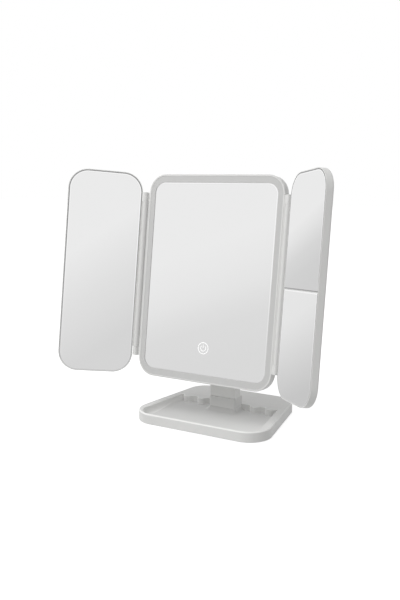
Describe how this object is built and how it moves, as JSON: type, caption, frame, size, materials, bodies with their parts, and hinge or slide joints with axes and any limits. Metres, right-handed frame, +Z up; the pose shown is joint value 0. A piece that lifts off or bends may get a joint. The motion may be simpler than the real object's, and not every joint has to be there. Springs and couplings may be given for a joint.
{
  "type": "lighted vanity mirror",
  "caption": "Lighted tri-fold vanity mirror: a touch-switched centre mirror with a light band and two folding side mirrors, tilting on a neck over a tray base.",
  "frame": {"origin": "middle of the base outline, at the underside of the non-slip pad that the mirror stands on", "axes": "+Z up; -Y towards the user, the way the mirrors face; X along the tilt axis, +X to the right of the mirror as seen from the front"},
  "size_m": [0.3603, 0.2, 0.3249],
  "materials": {
    "white_shell": "white moulded ABS with a soft satin sheen",
    "inner_plastic": "plain white moulded plastic",
    "diffuser": "frosted light band, off",
    "mirror": "silvered glass",
    "backing": "black fibre board",
    "pad": "grey non-slip foam rubber",
    "steel": "plain zinc-plated steel",
    "board": "white solder mask",
    "led": "light-emitting diode packages, off",
    "cell": "shrink-wrapped flat lithium cell"
  },
  "bodies": {
    "base": {"base_tray": "white_shell", "base_plate": "white_shell", "base_pad": "pad", "ballast_bar": "steel", "base_screws": "steel", "neck": "white_shell", "neck_cover": "white_shell", "neck_screw": "steel"},
    "head": {"tilt_pin": "steel", "friction_washers": "steel", "pin_caps": "white_shell", "front_frame": "white_shell", "light_diffuser": "diffuser", "main_mirror": "mirror", "mirror_carrier": "inner_plastic", "touch_sensor": "board", "rear_cover": "white_shell", "cover_screws": "steel", "led_board": "board", "leds": "led", "control_board": "board", "usb_socket": "steel", "battery_cell": "cell", "left_hinge_pins": "steel", "right_hinge_pins": "steel"},
    "left_wing": {"left_wing_shell": "white_shell", "left_wing_backing": "backing", "left_wing_mirror": "mirror"},
    "right_wing": {"right_wing_shell": "white_shell", "right_wing_backing": "backing", "right_upper_mirror": "mirror", "right_lower_mirror": "mirror"}
  },
  "joints": [
    {"name": "head_tilt", "type": "hinge", "parent": "base", "child": "head", "pos_m": [0, -0.01005, 0.10832], "axis": [1, 0, 0], "range_deg": [-45, 12]},
    {"name": "left_wing_fold", "type": "hinge", "parent": "head", "child": "left_wing", "pos_m": [-0.1005, -0.0373, 0.18806], "axis": [0, 0.1435, 0.9897], "range_deg": [-39.1, 140.9]},
    {"name": "right_wing_fold", "type": "hinge", "parent": "head", "child": "right_wing", "pos_m": [0.1005, -0.0373, 0.18806], "axis": [0, -0.1435, -0.9897], "range_deg": [-45.1, 134.9]}
  ]
}
